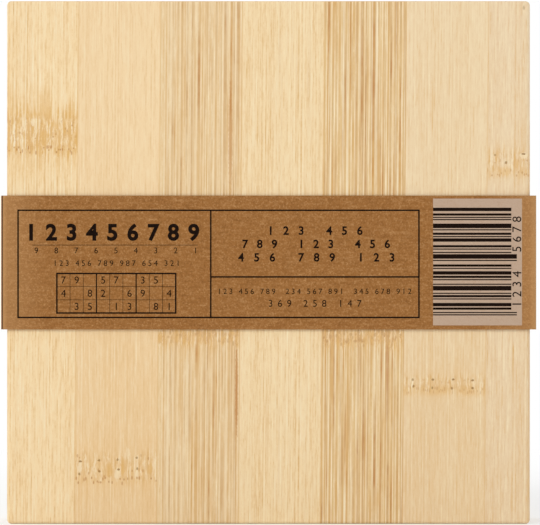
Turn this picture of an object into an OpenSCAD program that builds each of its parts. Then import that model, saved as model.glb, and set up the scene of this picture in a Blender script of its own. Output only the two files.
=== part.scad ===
// Sudoku peg board of laminated bamboo, held in a folded card sleeve. Millimetres.
// The board stands on its foot edge with its bamboo strips upright. Its back panel looks along -Y and
// its play face, with the numbered pegs, along +Y. The origin lies on the ground, under its middle.

/* [Board] */
// Width across the bamboo strips
board_w = 152.4; // [130:0.1:190]
// Height along the bamboo strips
board_h = 152.4; // [130:0.1:190]
// Thickness of the rails that frame the board
rail_t = 10; // [8:0.5:14]
// Rounding of the four corners of the outline
corner_r = 1.5; // [0.5:0.1:3]
// Rounding of the long edges
edge_r = 1; // [0.3:0.1:2]
// Fingers in each glued corner joint at the foot
finger_count = 5; // [3:2:9]

/* [Back panel] */
// Thickness of the back panel
back_t = 4.5; // [3:0.1:7]
// Width of the strip that is cut at the left edge, at half height
first_strip_w = 20.3; // [12:0.1:26]
// Width of the strip that is cut at the right edge, at half height
last_strip_w = 12.7; // [6:0.1:26]
// Distance by which the glue joints between the strips lean to the right, from foot to head
strip_lean = 1.3; // [0:0.1:4]
// Full strips between the two cut ones
full_strips = 5; // [3:1:8]

/* [Compartment] */
// Depth of the puzzle compartment behind the play board
compartment_d = 11; // [6:0.25:16]

/* [Play board] */
// Wood left under the peg holes
play_floor_t = 2; // [1.5:0.1:4]
// Depth of the groove in each side rail that carries the play board
groove_in = 4; // [2:0.25:6]
// Sliding clearance at each face of the play board
slip = 0.2; // [0.1:0.05:0.4]
// Plain margin between the rails and the grid
field_margin = 3.2; // [1:0.1:8]
// Depth of the cut grid lines
line_d = 0.5; // [0.2:0.05:1]
// Width of the lines between single cells
cell_line_w = 0.5; // [0.3:0.05:1]
// Width of the lines between blocks of cells
block_line_w = 1.1; // [0.6:0.05:2]
// Width of the thumb scoop in the pull rail
scoop_w = 26; // [16:0.5:40]
// Depth of the thumb scoop
scoop_d = 4; // [2:0.1:6]

/* [Pegs] */
// Diameter of the peg's head
head_d = 10; // [8:0.1:11]
// Height of the peg's head
head_h = 3.8; // [3:0.1:6]
// Rounding of the head's top edge
head_round = 0.8; // [0.2:0.1:1.5]
// Bevel under the head, where a fingernail lifts it
head_bevel = 0.5; // [0.1:0.1:1]
// Diameter of the peg's shank
shank_d = 5; // [4:0.1:6]
// Length of the peg's shank
shank_l = 4.5; // [3.5:0.1:7]
// Bevel of the shank's tip
tip_bevel = 0.5; // [0.1:0.1:1]
// Clearance round the shank in its hole
hole_slip = 0.1; // [0.05:0.01:0.2]
// Clearance under the shank's tip
hole_end_gap = 0.5; // [0.2:0.1:1]
// Room above a peg that is drawn out of its hole, up to the rim
pull_room = 0.7; // [0.5:0.1:6]

/* [Sleeve] */
// Height of the sleeve, along the board
sleeve_h = 39; // [25:0.5:60]
// Thickness of the card
card_t = 0.5; // [0.3:0.05:0.8]
// Gap to the back panel, and to the rim in front
sleeve_flat_gap = 0.3; // [0.2:0.05:1]
// Gap between the glued side and the left rail
sleeve_side_gap = 0.8; // [0.3:0.1:2]
// Outer radius of the four folds
fold_r = 1; // [0.9:0.1:2]
// Distance between the outer flap's cut edge and the back of the sleeve
flap_short = 2.5; // [1.5:0.1:6]
// Distance between the inner tab's cut edge and the front of the sleeve
tab_short = 3.5; // [2:0.1:8]

/* [Booklet] */
// Thickness of the cover
cover_t = 0.3; // [0.2:0.05:0.5]
// Thickness of the stack of pages
pages_t = 2; // [1:0.1:3]
// Gap between the booklet and each side rail
booklet_side_gap = 10; // [2:0.5:25]
// Gap between the booklet and the head rail
booklet_head_gap = 6; // [2:0.5:25]
// Distance by which the pages stay inside the cover's edges
page_inset = 0.8; // [0.2:0.1:2]
// Diameter of the staple wire
wire_d = 0.5; // [0.4:0.05:0.8]
// Width of a staple
staple_w = 12; // [8:0.5:16]
// Length of a staple's legs, from the spine
staple_leg = 4; // [2:0.25:6]
// Clearance round a staple's leg
staple_slip = 0.05; // [0.02:0.01:0.1]

/* [Hidden] */
$fn = 64;
// Overlap of a cut past the face that it starts from
cut = 1;
// Cells along one side of the grid, and along one side of a block
cells = 9;
block = 3;

// Sizes that follow from those above
inner_w = board_w - 2 * rail_t;
inner_h = board_h - 2 * rail_t;
strip_w = (board_w - first_strip_w - last_strip_w) / full_strips;
strips = full_strips + 2;
hole_d = shank_d + 2 * hole_slip;
hole_l = shank_l + hole_end_gap;
play_t = play_floor_t + hole_l;
recess_d = head_h + shank_l + pull_room;
board_d = back_t + compartment_d + slip + play_t + recess_d;
rail_d = board_d - back_t;
finger_d = rail_d / finger_count;
cell = (min(inner_w, inner_h) - 2 * field_margin) / cells;
field = cells * cell;

// Places along Y, from the back face to the rim, and along Z
back_y = -board_d / 2;
panel_y = back_y + back_t;
head_rail_y = panel_y + compartment_d;
play_back_y = head_rail_y + slip;
play_y = play_back_y + play_t;
rim_y = board_d / 2;
mid_z = board_h / 2;
head_z = board_h - rail_t;

// Booklet, standing on the foot rail against the back panel
booklet_w = inner_w - 2 * booklet_side_gap;
booklet_h = inner_h - booklet_head_gap;
booklet_t = pages_t + 2 * cover_t;

// Sleeve, with its outer faces equally far from the board on the left and on the right
sleeve_x = board_w / 2 + sleeve_side_gap + 2 * card_t;
sleeve_y = board_d / 2 + sleeve_flat_gap + card_t;

// A solved grid: each row shifts the digits, and rows, columns and digits are shuffled within the rules
digit_order = [5, 3, 9, 1, 7, 2, 8, 4, 6];
row_order = [0, 1, 2, 4, 3, 5, 8, 6, 7];
column_order = [0, 2, 1, 3, 5, 4, 7, 8, 6];
function digit(row, column) =
    let (r = row_order[row], shift = block * (r % block) + floor(r / block))
    digit_order[(shift + column_order[column]) % cells];

// Place along X of the edge after strip i, counted from 0 at the left edge, and its lean from half height
function edge_x(i) = i == 0 ? -board_w / 2 : i == strips ? board_w / 2
    : -board_w / 2 + first_strip_w + (i - 1) * strip_w;
function edge_lean(i) = i == 0 || i == strips ? 0 : strip_lean / 2;

// Centre of a row or column of the grid, counted from 0 at -X and at the foot
function cell_at(i) = (i - (cells - 1) / 2) * cell;

// Flat outline with round corners, centred on X and Y
module rounded_outline(w, h, r) {
    square([w - 2 * r, h], center = true);
    square([w, h - 2 * r], center = true);
    for (x = [-1, 1], y = [-1, 1])
        translate([x * (w / 2 - r), y * (h / 2 - r)]) circle(r);
}

// The whole board as one eased block, which every outer piece is cut from
module eased_block() {
    translate([0, 0, mid_z]) intersection() {
        rotate([90, 0, 0]) linear_extrude(board_d, center = true)
            rounded_outline(board_w, board_h, corner_r);
        linear_extrude(board_h, center = true)
            rounded_outline(board_w, board_d, edge_r);
        rotate([90, 0, 90]) linear_extrude(board_w, center = true)
            rounded_outline(board_d, board_h, edge_r);
    }
}

// One upright bamboo strip of the back panel
module back_strip(i) {
    color(i % 2 == 0 ? "burlywood" : "wheat") intersection() {
        eased_block();
        translate([0, panel_y, 0]) rotate([90, 0, 0]) linear_extrude(back_t) polygon([
            [edge_x(i - 1) - edge_lean(i - 1), 0], [edge_x(i) - edge_lean(i), 0],
            [edge_x(i) + edge_lean(i), board_h], [edge_x(i - 1) + edge_lean(i - 1), board_h]
        ]);
    }
}

// Every second finger of both foot corners, from the first one or the one after it
module foot_fingers(first) {
    for (i = [first:2:finger_count - 1], x = [-board_w / 2, inner_w / 2])
        translate([x, panel_y + i * finger_d, 0]) cube([rail_t, finger_d, rail_t]);
}

// Side rail, with its finger joint at the foot and the groove that carries the play board.
// side is -1 for the left rail and 1 for the right one.
module side_rail(side) {
    left = side < 0 ? -board_w / 2 : inner_w / 2;
    groove_left = side < 0 ? -inner_w / 2 - groove_in : inner_w / 2 - cut;
    color("burlywood") difference() {
        intersection() {
            eased_block();
            union() {
                translate([left, panel_y, rail_t]) cube([rail_t, rail_d, board_h - rail_t]);
                intersection() {
                    foot_fingers(0);
                    translate([left, panel_y, 0]) cube([rail_t, rail_d, rail_t]);
                }
            }
        }
        translate([groove_left, play_back_y - slip, rail_t])
            cube([groove_in + cut, play_t + 2 * slip, board_h]);
    }
}

// Foot rail, which the board stands on
module foot_rail() {
    color("tan") intersection() {
        eased_block();
        union() {
            translate([-inner_w / 2, panel_y, 0]) cube([inner_w, rail_d, rail_t]);
            foot_fingers(1);
        }
    }
}

// Low rail that closes the compartment under the play board's end
module head_rail() {
    color("tan") intersection() {
        eased_block();
        translate([-inner_w / 2, panel_y, head_z]) cube([inner_w, compartment_d, rail_t]);
    }
}

// Blind hole for one peg, bored from the play face
module peg_hole() {
    rotate([90, 0, 0]) translate([0, 0, -cut]) cylinder(d = hole_d, h = hole_l + cut);
}

// Cut lines of the grid, wider between blocks
module grid_lines() {
    for (i = [0:cells]) {
        w = i % block == 0 ? block_line_w : cell_line_w;
        length = field + block_line_w;
        place = i * cell - field / 2;
        translate([place - w / 2, -line_d, -length / 2]) cube([w, line_d + cut, length]);
        translate([-length / 2, -line_d, place - w / 2]) cube([length, line_d + cut, w]);
    }
}

// Play board that slides out upwards, with its grid and its peg holes
module play_board() {
    play_w = inner_w + 2 * (groove_in - slip);
    color("wheat") difference() {
        translate([-play_w / 2, play_back_y, rail_t + slip])
            cube([play_w, play_t, board_h - rail_t - slip]);
        translate([0, play_y, mid_z]) {
            grid_lines();
            for (row = [0:cells - 1], column = [0:cells - 1])
                translate([cell_at(column), 0, cell_at(row)]) peg_hole();
        }
    }
}

// Rail glued across the top of the play board, with a thumb scoop to push it open
module pull_rail() {
    scoop_r = (pow(scoop_w / 2, 2) + pow(scoop_d, 2)) / (2 * scoop_d);
    color("tan") difference() {
        intersection() {
            eased_block();
            translate([-inner_w / 2 + slip, play_y, head_z]) cube([inner_w - 2 * slip, recess_d, rail_t]);
        }
        translate([0, rim_y + scoop_r - scoop_d, head_z - cut])
            cylinder(r = scoop_r, h = rail_t + 2 * cut);
    }
}

// One turned peg along Z, with the underside of its head at the origin
module peg() {
    head_r = head_d / 2;
    shank_r = shank_d / 2;
    rotate_extrude() {
        polygon([
            [0, -shank_l], [shank_r - tip_bevel, -shank_l], [shank_r, tip_bevel - shank_l], [shank_r, 0],
            [head_r - head_bevel, 0], [head_r, head_bevel], [head_r, head_h - head_round],
            [head_r - head_round, head_h], [0, head_h]
        ]);
        intersection() {
            translate([head_r - head_round, head_h - head_round]) circle(head_round);
            translate([head_r - head_round, head_h - head_round]) square(head_round);
        }
    }
}

// The nine pegs that carry one digit, each in its hole
module pegs(n) {
    color("antiquewhite") for (row = [0:cells - 1], column = [0:cells - 1])
        if (digit(row, column) == n)
            translate([cell_at(column), play_y, mid_z + cell_at(row)]) rotate([-90, 0, 0]) peg();
}

// Moves a piece of the booklet to its place: X from its middle, Y from its back, Z from its foot
module in_compartment() {
    translate([0, panel_y, rail_t]) children();
}

// Heights of the two staples, a quarter of the booklet from each end
module at_staples() {
    for (z = [booklet_h / 4, booklet_h * 3 / 4]) translate([booklet_w / 2, booklet_t / 2, z]) children();
}

// Holes of one staple through the spine
module staple_holes() {
    for (z = [-1, 1]) translate([cut, 0, z * (staple_w - wire_d) / 2]) rotate([0, -90, 0])
        cylinder(d = wire_d + 2 * staple_slip, h = staple_leg + staple_slip + cut);
}

// Folded cover, open along three sides, with its spine towards +X
module booklet_cover() {
    color("peru") in_compartment() difference() {
        translate([-booklet_w / 2, 0, 0]) cube([booklet_w, booklet_t, booklet_h]);
        translate([-booklet_w / 2 - cut, cover_t, -cut])
            cube([booklet_w + cut - cover_t, pages_t, booklet_h + 2 * cut]);
        at_staples() staple_holes();
    }
}

// Stack of puzzle pages, folded into the spine
module booklet_pages() {
    color("ivory") in_compartment() difference() {
        translate([-booklet_w / 2 + page_inset, cover_t, page_inset])
            cube([booklet_w - page_inset - cover_t, pages_t, booklet_h - 2 * page_inset]);
        at_staples() staple_holes();
    }
}

// Two wire staples with their crowns along the spine
module booklet_staples() {
    color("silver") in_compartment() at_staples() {
        reach = (staple_w - wire_d) / 2;
        translate([wire_d / 2, 0, -reach]) cylinder(d = wire_d, h = 2 * reach);
        for (z = [-reach, reach]) translate([wire_d / 2, 0, z]) {
            sphere(d = wire_d);
            rotate([0, -90, 0]) cylinder(d = wire_d, h = staple_leg + wire_d / 2);
        }
    }
}

// Ring of card seen from above, whose left side lies in by some distance
module card_ring(left_in) {
    w = 2 * sleeve_x - left_in;
    translate([left_in / 2, 0]) difference() {
        rounded_outline(w, 2 * sleeve_y, fold_r);
        rounded_outline(w - 2 * card_t, 2 * (sleeve_y - card_t), fold_r - card_t);
    }
}

// Left end of the sleeve, between two places along Y
module left_end(from_y, to_y) {
    reach = 2 * fold_r;
    translate([-sleeve_x - cut, from_y]) square([reach + cut, to_y - from_y]);
}

// Card sleeve: one strip folded round the board, its ends lapped and glued on the left side
module sleeve() {
    flap_y = flap_short - sleeve_y;
    tab_y = sleeve_y - tab_short;
    color("peru") translate([0, 0, mid_z - sleeve_h / 2]) linear_extrude(sleeve_h) {
        difference() {
            card_ring(0);
            left_end(-sleeve_y - cut, flap_y);
        }
        intersection() {
            card_ring(card_t);
            left_end(-sleeve_y - cut, tab_y);
        }
    }
}

for (i = [1:strips]) back_strip(i);
side_rail(-1);  // left_rail
side_rail(1);  // right_rail
foot_rail();
head_rail();
play_board();
pull_rail();
for (n = [1:cells]) pegs(n);
booklet_cover();
booklet_pages();
booklet_staples();
sleeve();
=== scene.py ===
"""Looks of the sudoku board: bamboo, turned pegs, a puzzle booklet, a kraft sleeve and a plain studio."""

import math
from functools import partialmethod
from typing import NamedTuple

import bmesh
import bpy
from bpy.props import FloatProperty, FloatVectorProperty, PointerProperty
from mathutils import Matrix, Vector


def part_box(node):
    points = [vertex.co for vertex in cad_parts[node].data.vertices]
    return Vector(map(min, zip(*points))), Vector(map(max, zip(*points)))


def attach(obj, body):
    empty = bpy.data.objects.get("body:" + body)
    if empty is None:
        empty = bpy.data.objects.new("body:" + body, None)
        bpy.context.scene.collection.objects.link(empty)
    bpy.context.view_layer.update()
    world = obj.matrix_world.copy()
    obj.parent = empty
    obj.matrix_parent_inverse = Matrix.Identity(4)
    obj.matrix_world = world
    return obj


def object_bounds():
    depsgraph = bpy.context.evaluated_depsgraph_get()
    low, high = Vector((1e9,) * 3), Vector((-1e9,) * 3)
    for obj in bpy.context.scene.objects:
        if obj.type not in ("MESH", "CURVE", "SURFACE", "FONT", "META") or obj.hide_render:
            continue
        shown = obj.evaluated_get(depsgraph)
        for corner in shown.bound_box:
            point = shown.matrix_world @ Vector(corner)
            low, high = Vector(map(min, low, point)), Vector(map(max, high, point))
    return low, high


bl_info = {
    "name": "Sudoku Board Looks",
    "version": (1, 0, 0),
    "blender": (4, 5, 0),
    "location": "3D View > Sidebar > Sudoku",
    "description": "Dresses the sudoku board in bamboo, print and paper, and sets a plain studio round it",
    "category": "Object",
}

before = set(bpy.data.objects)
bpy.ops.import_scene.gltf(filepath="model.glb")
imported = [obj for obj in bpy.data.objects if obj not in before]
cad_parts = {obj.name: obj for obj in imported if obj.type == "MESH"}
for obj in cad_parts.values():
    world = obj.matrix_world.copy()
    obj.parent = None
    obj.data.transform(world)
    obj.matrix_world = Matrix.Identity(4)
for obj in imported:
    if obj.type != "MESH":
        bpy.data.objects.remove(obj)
CAD_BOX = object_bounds()
MM = 0.001

STRIP_NODES = [f"back_strip_{i}" for i in range(1, 8)]
PEG_NODES = [f"pegs_{n}" for n in range(1, 10)]

# Steps from the seed of one strip or rail to the next, and the number of the first rail
STRIP_SEED = 11.3
RAIL_SEED = 3.1
FIRST_RAIL = 40

# Which way the grain of each rail runs
RAIL_GRAIN = {"left_rail": "Z", "right_rail": "Z", "foot_rail": "X", "head_rail": "X", "pull_rail": "X"}

# Thickness of printed ink, and how far it sinks into what it is printed on
INK_T = 0.02 * MM
INK_SINK = 0.01 * MM

# How far the rounding of the back panel's edges reaches in from its face
EASED = 1.2 * MM

# Places that are closer than this are one
SAME_PLACE = 0.001 * MM

# How far the threads of the bamboo shift sideways for each step into its depth
THREAD_SLANT = 0.83

# Depth of the grain of wood and card
GRAIN_DEPTH = 0.02 * MM

# Roughness of most noise, from 0 for soft to 1 for harsh
NOISE_ROUGHNESS = 0.55

# How far round the pegs the burnt grid of the play board reaches
GRID_MARGIN = 4 * MM

# How many pairs of dots a row of buds has
BUD_PAIRS = 4

# Half widths of the thick and thin lines of the grids on the booklet's cover and on the sleeve
COVER_LINES = (0.5 * MM, 0.2 * MM)
SLEEVE_GRID_LINES = (0.17 * MM, 0.06 * MM)

# Where the lights stand, the side of each one, and half the side of the floor, in metres
LIGHT_PLACES = {"key": (-2.4, -4.8, 3.4), "rear": (-4.2, 3.2, 4.6), "side": (4.4, 2.6, 2.8)}
LIGHT_SIDE = 3.4
FLOOR_HALF = 3.0
WHITE = (1, 1, 1, 1)

# Reading directions of print on the back of the board, on its play side, and turned by a quarter on the back
FROM_BACK = Matrix(((1, 0, 0), (0, 0, -1), (0, 1, 0))).to_4x4()
FROM_FRONT = Matrix(((-1, 0, 0), (0, 0, 1), (0, 1, 0))).to_4x4()
QUARTER_TURN = Matrix.Rotation(math.pi / 2, 4, "Z")


def srgb(red, green, blue):
    """A colour as a screen shows it, 0 to 255, as the linear colour that shaders take."""
    def linear(value):
        share = value / 255
        return share / 12.92 if share <= 0.04045 else ((share + 0.055) / 1.055) ** 2.4
    return (linear(red), linear(green), linear(blue), 1.0)


class Threads(NamedTuple):
    """A set of threads that lie side by side in the bamboo."""
    pitch: float  # threads a metre
    along: float  # waves a metre in the shade of one thread
    drift: float  # how much the shade of one thread changes
    steady: float  # how much a thread differs from the next one all along
    roughness: float  # of the changes along a thread
    strength: float


FINE_THREADS = (
    Threads(1900, 50, 3.0, 0.55, 0.66, 0.8),
    Threads(2500, 190, 4.4, 0.55, 0.66, 0.6),
    Threads(950, 45, 3.0, 0.55, 0.66, 0.22),
)
STRIPE_THREADS = (
    Threads(620, 18, 4.6, 0.3, 0.62, 0.95),
    Threads(1180, 28, 4.6, 0.3, 0.62, 0.95),
)


class Knuckle(NamedTuple):
    """Where a strip's bamboo had a joint. Lengths are in millimetres, heights above the foot."""
    height: float  # middle of the joint
    reach: float  # half height of the scarred band
    drop: float  # how far below the middle the row of dashes lies
    gold: float  # strength of the golden patches
    pale: float  # strength of the pale patches
    dash: float  # strength of the dashes
    flame: float  # strength of the streaks that run out of the joint
    band: float  # strength of the soft brown band at the dashes


class Buds(NamedTuple):
    """Pairs of dark dots, one pair beside the other, across a knuckle. Lengths are in millimetres."""
    right: float  # the first pair, to the right of the board's middle
    up: float  # its upper dot, above the foot
    step: float  # from one pair to the next
    climb: float  # how much higher each pair is than the one before
    gap: float  # between the dots of a pair


class Spot(NamedTuple):
    """One mark on a strip, in millimetres to the right of the board's middle and above its foot."""
    tone: str  # which of the bamboo's colours it has
    right: float
    up: float
    width: float
    height: float
    strength: float


class Strip(NamedTuple):
    """Looks of one strip of the back panel."""
    colour: tuple
    fine: float  # strength of the fine fibres
    stripes: float  # strength of the broad stripes
    set_in: float  # share of the strip's width that the stripes take to set in from the left
    knuckle: Knuckle
    deepen: float = 0.0  # how much browner the strip gets towards its foot
    buds: tuple = ()
    spots: tuple = ()


STRIPS = [
    Strip(srgb(242, 214, 167), 0.95, 0.05, 0.0, Knuckle(113.6, 4.9, 4.6, 0.75, 0.3, 0.65, 1.1, 0.2), spots=(
        Spot("pale", -68.6, 117.0, 1.5, 2.5, 0.6), Spot("scar", -65.3, 113.0, 2.9, 5.0, 0.6),
        Spot("scar", -55.8, 113.8, 1.0, 8.0, 0.7), Spot("scar", -59.5, 115.5, 0.8, 5.5, 0.7),
    )),
    Strip(srgb(240, 211, 166), 0.56, 0.02, 0.0, Knuckle(16.9, 3.9, 4.2, 0.2, 0.5, 0.6, 0.25, 0.1), 0.27,
          (Buds(-55.0, 18.0, 5.6, 0.5, 3.3),), (
        Spot("pale", -54.9, 16.6, 1.3, 4.0, 0.6), Spot("pale", -44.2, 14.5, 1.6, 4.0, 0.5),
        Spot("pale", -41.0, 20.6, 1.4, 4.0, 0.4), Spot("scar", -46.3, 15.8, 1.6, 5.0, 0.6),
        Spot("scar", -42.5, 16.5, 1.1, 6.0, 0.6), Spot("scar", -34.5, 16.2, 1.6, 3.6, 0.5),
    )),
    Strip(srgb(231, 201, 154), 0.70, 0.76, 0.15, Knuckle(54.9, 3.0, 0.4, 0.75, 0.35, 0.12, 0.7, 0.35), spots=(
        Spot("dash", -9.3, 39.0, 0.9, 28.0, 0.6), Spot("dash", -11.1, 112.0, 1.3, 34.0, 0.4),
    )),
    Strip(srgb(241, 215, 170), 0.85, 0.10, 0.0, Knuckle(76.0, 3.0, 3.0, 0.3, 0.2, 0.3, 0.3, 0.2)),
    Strip(srgb(226, 193, 140), 0.70, 1.14, 0.0, Knuckle(54.7, 3.1, 0.4, 0.85, 0.35, 0.15, 0.85, 0.4)),
    Strip(srgb(235, 210, 170), 0.60, 0.02, 0.0, Knuckle(40.9, 2.1, 2.0, 0.2, 0.05, 0.3, 0.2, 0.42), 0.22,
          (Buds(42.2, 42.3, 5.7, -0.2, 2.2),)),
    Strip(srgb(233, 208, 171), 0.75, 0.06, 0.0, Knuckle(105.6, 2.8, 3.2, 0.22, 0.2, 0.45, 0.35, 0.3), 0.1,
          spots=(
        Spot("scar", 69.0, 102.8, 3.4, 3.0, 0.35), Spot("scar", 72.5, 104.9, 0.8, 3.2, 0.5),
        Spot("pale", 74.4, 107.3, 2.6, 2.0, 0.55), Spot("dot", 74.3, 107.8, 1.3, 0.5, 0.9),
        Spot("dot", 69.2, 105.3, 0.8, 1.0, 0.7), Spot("dot", 66.0, 107.5, 0.7, 0.7, 0.5),
        Spot("dot", 74.4, 150.4, 0.7, 1.4, 0.4),
    )),
]


class Area(NamedTuple):
    """An area of the sleeve's printed side, in millimetres from its upper left corner."""
    left: float
    top: float
    right: float
    bottom: float


SLEEVE_FRAME = Area(5.1, 4.3, 121.8, 35.5)
SLEEVE_HAIRLINE = Area(9.3, 14.35, 57.4, 14.5)
SLEEVE_GRID = Area(16.4, 22.7, 51.0, 34.2)
SLEEVE_PATCH = Area(125.9, 0.9, 151.8, 37.8)
SLEEVE_STRIPES = Area(125.9, 4.4, 148.7, 34.9)

# The upright and the level rule that divide the frame, to the right of and below the same corner
SLEEVE_UPRIGHT = 61.2
SLEEVE_LEVEL = 23.7

# The stripes: how thick one step is, the steps of the stripes and of the gaps, and where long stripes end
STRIPE_STEP = 0.33 * MM
STRIPE_STEPS = (1, 1, 2, 3, 1, 2, 1, 4)
GAP_STEPS = (1, 2, 1, 3, 1)
LONG_STRIPE_END = 150.3

# How many stripes of how many in a row are long
LONG_STRIPES = 2
STRIPES_IN_A_ROW = 14

# Groups of figures beside the stripes: how many groups and how many figures in each, the figures' height,
# how far down the first one is, and the steps up from it
SIDE_GROUPS = 2
SIDE_GROUP_SIZE = 4
SIDE_FIGURE_H = 2.6
SIDE_FIGURES_DOWN = 31.6
SIDE_GROUP_STEP = 16.0
SIDE_FIGURE_STEP = 2.9

# Height of the figures in the sleeve's number grid
GRID_FIGURE_H = 2.1


class Figures(NamedTuple):
    """A line of plain figures on the sleeve, in millimetres from the same corner to its middle."""
    text: str
    right: float
    down: float
    height: float
    width: float
    bold: float = 0.0  # how much thicker than plain, as a share of the font's size


SLEEVE_FIGURES = (
    Figures("123456789", 33.1, 10.7, 5.2, 49.5, 0.035),
    Figures("9 8 7 6 5 4 3 2 1", 33.4, 16.0, 1.7, 47.0),
    Figures("123 456 789 987 654 321", 33.8, 19.7, 1.65, 36.0),
    Figures("123 456", 91.9, 10.2, 2.6, 27.0, 0.025),
    Figures("789 123 456", 91.9, 14.1, 2.6, 43.0, 0.025),
    Figures("456 789 123", 91.9, 18.0, 2.6, 45.5, 0.025),
    Figures("123 456 789  234 567 891  345 678 912", 91.6, 27.9, 1.6, 56.0),
    Figures("369 258 147", 91.6, 31.4, 2.0, 27.0),
)


def colour(name, description, red, green, blue):
    return FloatVectorProperty(name=name, description=description, default=srgb(red, green, blue),
                               subtype="COLOR", size=4, min=0, max=1)


def length(name, description, millimetres):
    return FloatProperty(name=name, description=description, default=millimetres * MM, subtype="DISTANCE",
                         unit="LENGTH", min=0)


def power(name, description, watts):
    return FloatProperty(name=name, description=description, default=watts, min=0, unit="POWER")


class BambooLooks(bpy.types.PropertyGroup):
    """Finish of the bamboo pieces"""
    fibre: colour("Fibre", "Fine fibres in the pale bamboo", 220, 177, 116)
    pale: colour("Pale", "Pale lines in the bamboo", 246, 229, 194)
    stripe: colour("Stripe", "Broad brown stripes", 203, 160, 107)
    scar: colour("Scar", "Golden scars of a knuckle", 222, 174, 99)
    dash: colour("Dash", "Brown dashes below a knuckle", 184, 118, 48)
    dot: colour("Dot", "Dark dots of a knuckle", 142, 94, 0)
    end_grain: colour("End grain", "Cut ends of the fibres", 186, 142, 90)
    rail: colour("Rail", "Rails of the frame", 234, 204, 157)
    play: colour("Play board", "Face of the play board", 238, 210, 165)
    burnt: colour("Burnt line", "Burnt lines of the grid", 96, 60, 32)


class PegLooks(bpy.types.PropertyGroup):
    """Finish of the pegs"""
    wood: colour("Wood", "Pale turned wood", 226, 198, 154)
    grain: colour("Grain", "Grain of the turned wood", 204, 168, 118)
    ink: colour("Digit", "Burnt digit on the head", 58, 36, 22)
    digit_h: length("Digit height", "Height of the digit on a peg's head", 5.2)


class BookletLooks(bpy.types.PropertyGroup):
    """Finish of the puzzle booklet"""
    cover: colour("Cover", "Card of the cover", 200, 166, 122)
    page: colour("Page", "Paper of the pages", 242, 238, 228)
    page_edge: colour("Page edge", "Shade between the leaves", 206, 200, 186)
    ink: colour("Print", "Ink of the grid on the cover", 64, 44, 30)
    wire: colour("Wire", "Staple wire", 190, 190, 192)
    grid_w: length("Grid", "Width of the printed grid", 72)


class SleeveLooks(bpy.types.PropertyGroup):
    """Finish and print of the card sleeve"""
    kraft: colour("Kraft", "Brown card", 154, 104, 54)
    # Also the colour of the paler ends of the sleeve and of the painted highlight along its folds and on its
    # faces turned to +X
    light: colour("Light fibre", "Pale fibres in the card", 196, 150, 100)
    dark: colour("Dark fibre", "Dark fibres in the card", 122, 78, 36)
    core: colour("Cut edge", "Core of the card at its cut edges", 176, 132, 88)
    crease: colour("Crease", "Shade in the crease of the lap", 52, 30, 16)
    ink: colour("Ink", "Dark brown print", 26, 15, 9)
    patch: colour("Patch", "Pale patch under the stripes", 189, 163, 141)
    rule_w: length("Rule", "Width of the ruled lines", 0.44)


class StageLooks(bpy.types.PropertyGroup):
    """Floor, light and camera"""
    floor: colour("Floor", "Pale floor", 240, 240, 238)
    fill: FloatProperty(name="Fill", description="Strength of the light from all round", default=0.6, min=0)
    key: power("Key", "Power of the light in front of the back panel", 150)
    rear: power("Rear", "Power of the light on the play side", 130)
    side: power("Side", "Power of the light on the right side", 80)
    distance: length("Distance", "From the back panel to the camera", 1200)
    view_w: length("View width", "Width of the picture at the back panel", 157.3)
    aim_right: length("Aim right", "How far the camera stands right of the middle", 0.44)


class SudokuLooks(bpy.types.PropertyGroup):
    """All the looks of the sudoku board"""
    bamboo: PointerProperty(type=BambooLooks)
    pegs: PointerProperty(type=PegLooks)
    booklet: PointerProperty(type=BookletLooks)
    sleeve: PointerProperty(type=SleeveLooks)
    stage: PointerProperty(type=StageLooks)


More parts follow.
